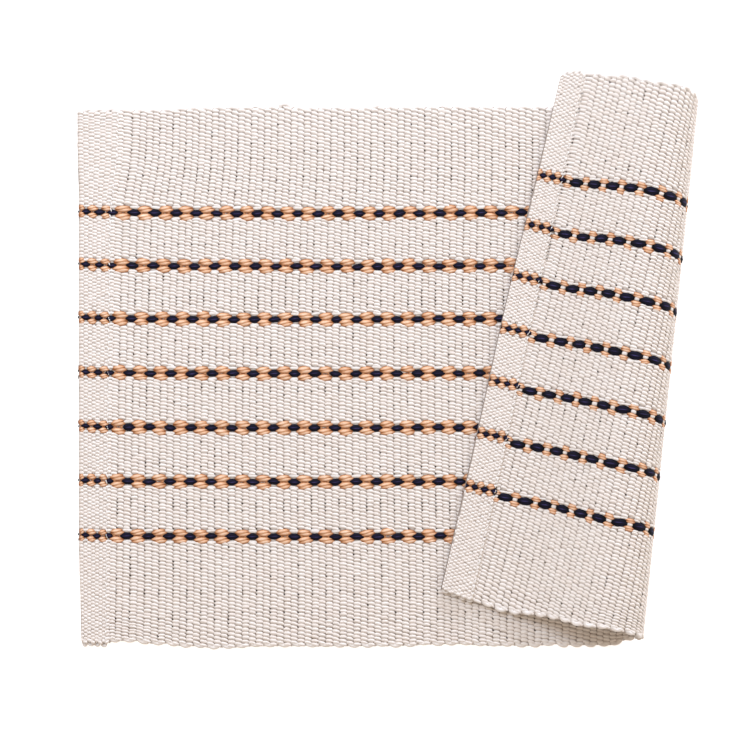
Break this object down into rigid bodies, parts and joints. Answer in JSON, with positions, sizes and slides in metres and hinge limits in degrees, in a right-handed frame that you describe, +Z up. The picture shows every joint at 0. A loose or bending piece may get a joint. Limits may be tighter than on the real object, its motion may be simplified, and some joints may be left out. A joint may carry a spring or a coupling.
{
  "type": "placemat",
  "caption": "Thick rib-woven cotton placemat with dashed stripes along its length, lying flat with its right end turned over in a soft fold.",
  "frame": {"origin": "middle of the box around the folded mat, on the surface it lies on", "axes": "+X along the mat's length towards the turned-over end, +Y across its width, +Z up"},
  "size_m": [0.3776, 0.353, 0.0373],
  "materials": {
    "natural_cotton": "thick unbleached cotton in a rib weave",
    "tan_yarn": "dyed two-ply cotton yarn",
    "navy_yarn": "dyed soft cotton yarn",
    "cotton_thread": "white cotton sewing thread"
  },
  "bodies": {
    "root": {"mat": "natural_cotton"}
  },
  "joints": []
}
